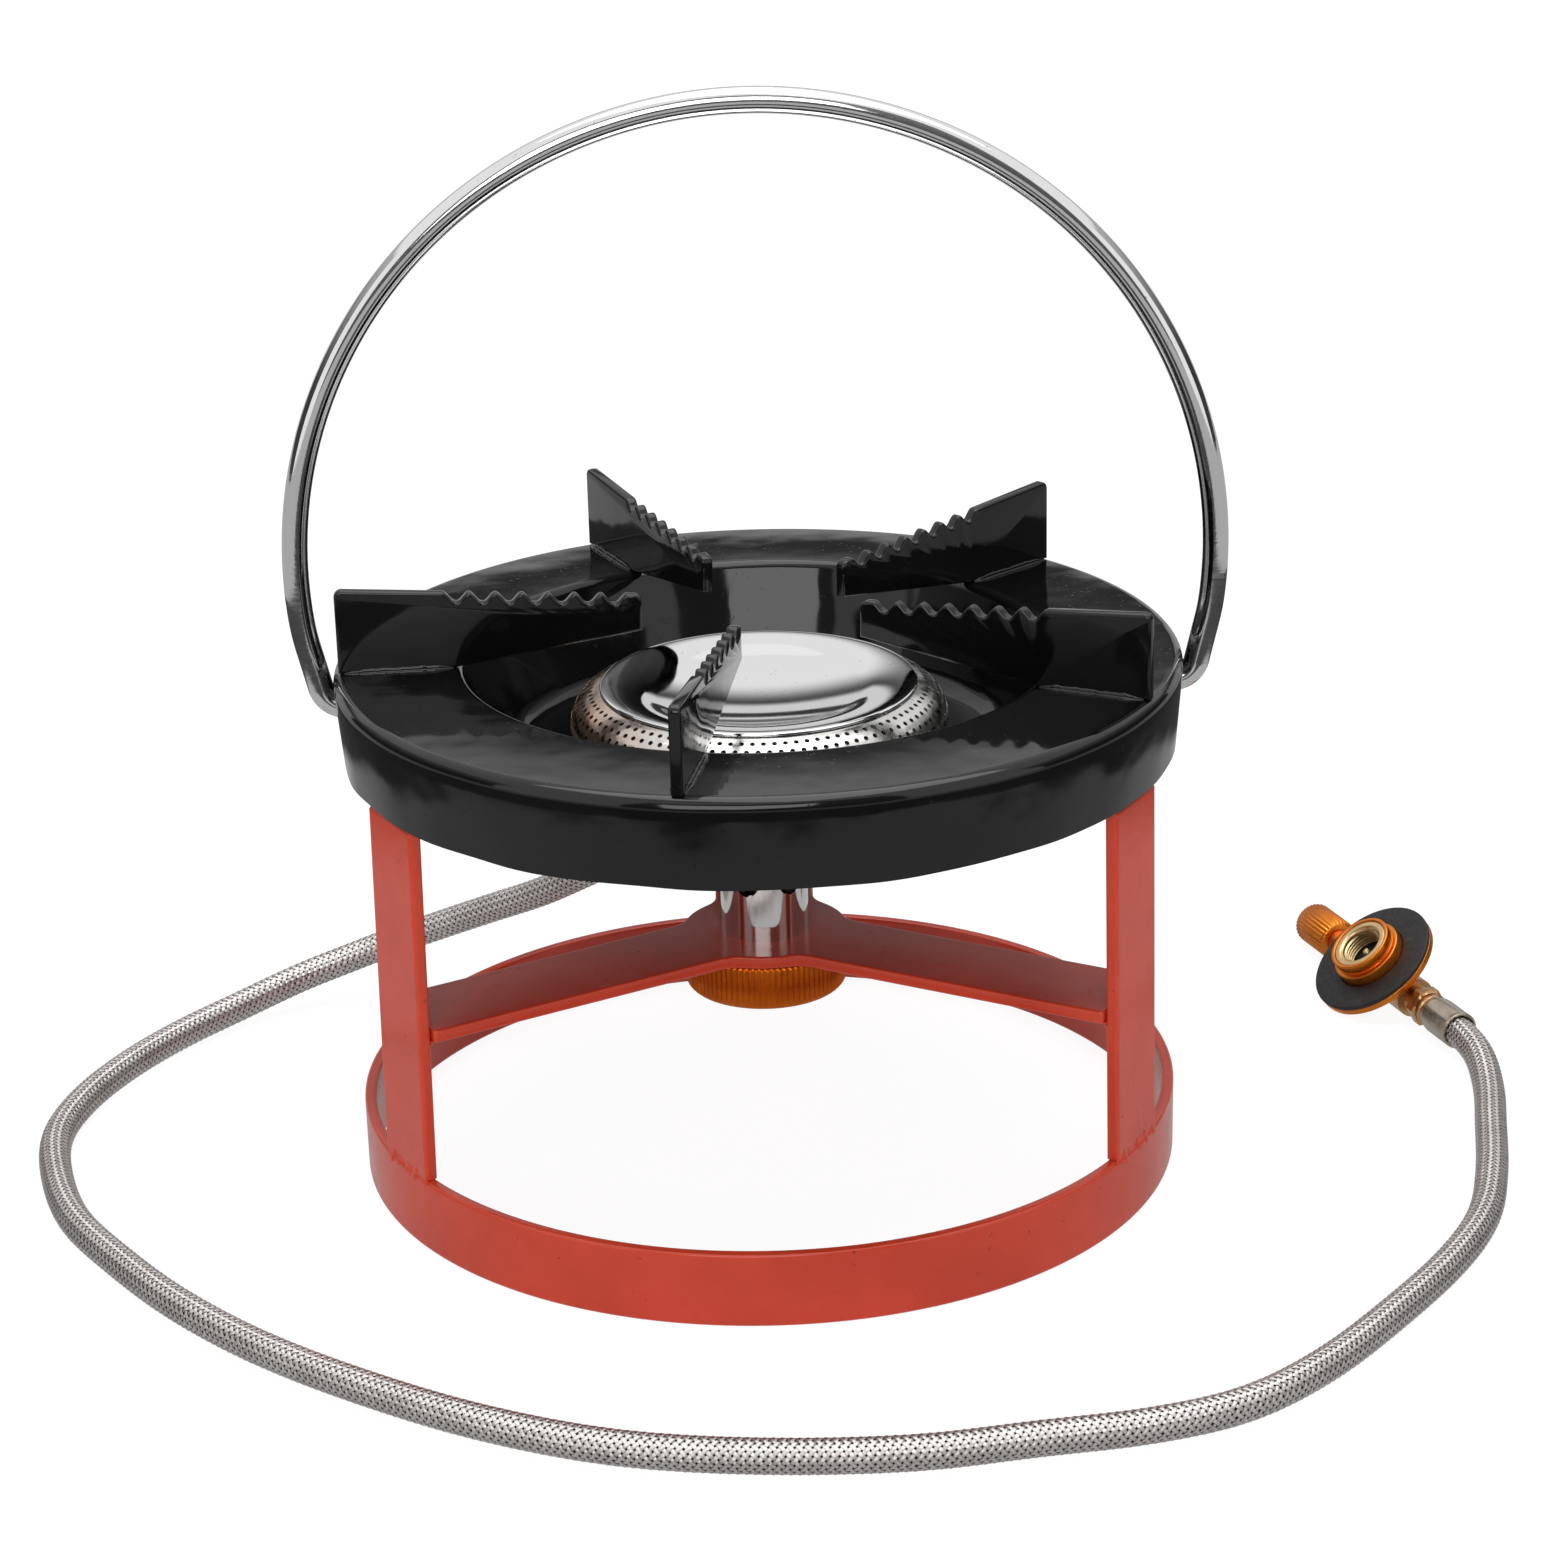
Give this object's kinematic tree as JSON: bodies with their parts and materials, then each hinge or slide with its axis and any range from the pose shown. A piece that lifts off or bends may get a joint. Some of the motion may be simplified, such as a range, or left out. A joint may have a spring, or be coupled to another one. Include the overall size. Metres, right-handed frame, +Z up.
{
  "type": "portable gas burner stand",
  "caption": "Round three-legged stand with a drip pan, toothed pot supports, ported burner head, swinging bail handle, and a braided gas hose with a screw-on canister valve.",
  "frame": {"origin": "centre of the base ring's underside, on the floor", "axes": "+Z up; X along the bail's pivots, -Y towards the front pot support"},
  "size_m": [0.3822, 0.2891, 0.2721],
  "materials": {
    "frame_paint": "glossy coral-red powder coat on steel",
    "enamel": "glossy black enamel on steel",
    "burner_steel": "bright steel with a faint heat tint",
    "cap_steel": "mirror-bright dished cap",
    "brass": "turned brass",
    "nickel": "nickel-plated, crimped",
    "orange_anodised": "orange anodised, satin",
    "black_rubber": "matt black rubber",
    "chrome_rod": "bright chrome-plated rod",
    "hose_braid": "stainless-steel braid over a rubber liner"
  },
  "bodies": {
    "stand": {"base_ring": "frame_paint", "leg_left": "frame_paint", "leg_right": "frame_paint", "leg_rear": "frame_paint", "bracket": "frame_paint", "drip_pan": "enamel", "pot_support_front": "enamel", "pot_support_right": "enamel", "pot_support_back_right": "enamel", "pot_support_back_left": "enamel", "pot_support_left": "enamel", "mixing_tube": "burner_steel", "tube_foot": "brass", "jet_holder": "brass", "jet": "brass", "burner_bowl": "burner_steel", "port_ring": "burner_steel", "burner_cap": "cap_steel", "inlet_nut": "brass", "inlet_ferrule": "nickel", "gas_hose": "hose_braid", "outlet_ferrule": "nickel", "outlet_nut": "nickel", "valve_body": "brass", "adapter_disc": "orange_anodised", "adapter_pad": "black_rubber", "thread_insert": "brass", "adapter_seal": "black_rubber", "valve_pin": "brass", "valve_gland": "orange_anodised", "stem_packing": "black_rubber"},
    "bail": {"bail": "chrome_rod"},
    "clamp_nut": {"clamp_nut": "orange_anodised"},
    "valve_knob": {"valve_stem": "brass", "valve_knob": "orange_anodised"}
  },
  "joints": [
    {"name": "bail_swing", "type": "hinge", "parent": "stand", "child": "bail", "pos_m": [0, 0, 0.1215], "axis": [1, 0, 0], "range_deg": [-125, 125]},
    {"name": "clamp_nut_turn", "type": "hinge", "parent": "stand", "child": "clamp_nut", "pos_m": [0, 0, 0.0494], "axis": [0, 0, -1], "continuous": true},
    {"name": "valve_turn", "type": "hinge", "parent": "stand", "child": "valve_knob", "pos_m": [0.1744, 0.0712, 0.00602], "axis": [-0.3223, 0.9466, 0], "range_deg": [0, 540]}
  ]
}
